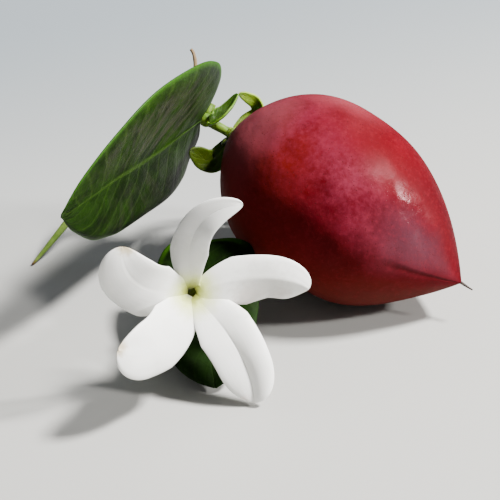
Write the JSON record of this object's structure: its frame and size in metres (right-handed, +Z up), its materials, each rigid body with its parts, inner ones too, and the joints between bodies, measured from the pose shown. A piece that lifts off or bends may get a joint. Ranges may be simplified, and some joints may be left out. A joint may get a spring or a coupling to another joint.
{
  "type": "natal plum sprig",
  "caption": "Picked sprig with a pointed ovoid red fruit, leaves, a thorn and an open pinwheel flower, lying on its side.",
  "frame": {"origin": "on the small flat spot under the fruit's belly, on the surface it rests on", "axes": "+Z up, +X along the sprig from the large leaf towards the fruit's tip, -Y towards the open flower"},
  "size_m": [0.0834, 0.0672, 0.0453],
  "materials": {
    "fruit_skin": "smooth waxy red skin with a dusty bloom",
    "style_dry": "dry black thread",
    "fruit_calyx": "satin green",
    "twig_green": "green bark, matte",
    "thorn_green": "smooth yellow green",
    "dry_tip_brown": "dry brown",
    "leaf_large": "leathery, satin dark green",
    "leaf_small": "leathery, satin dark green",
    "leaf_flower": "leathery, satin dark green",
    "petal_white": "matte waxy white, yellow green throat",
    "flower_calyx": "satin green"
  },
  "bodies": {
    "root": {"fruit": "fruit_skin", "style_remnant": "style_dry", "fruit_calyx": "fruit_calyx", "twig": "twig_green", "thorn": "thorn_green", "dry_tip": "dry_tip_brown", "leaf_large": "leaf_large", "leaf_small": "leaf_small", "leaf_flower": "leaf_flower", "corolla": "petal_white", "flower_calyx": "flower_calyx"}
  },
  "joints": []
}
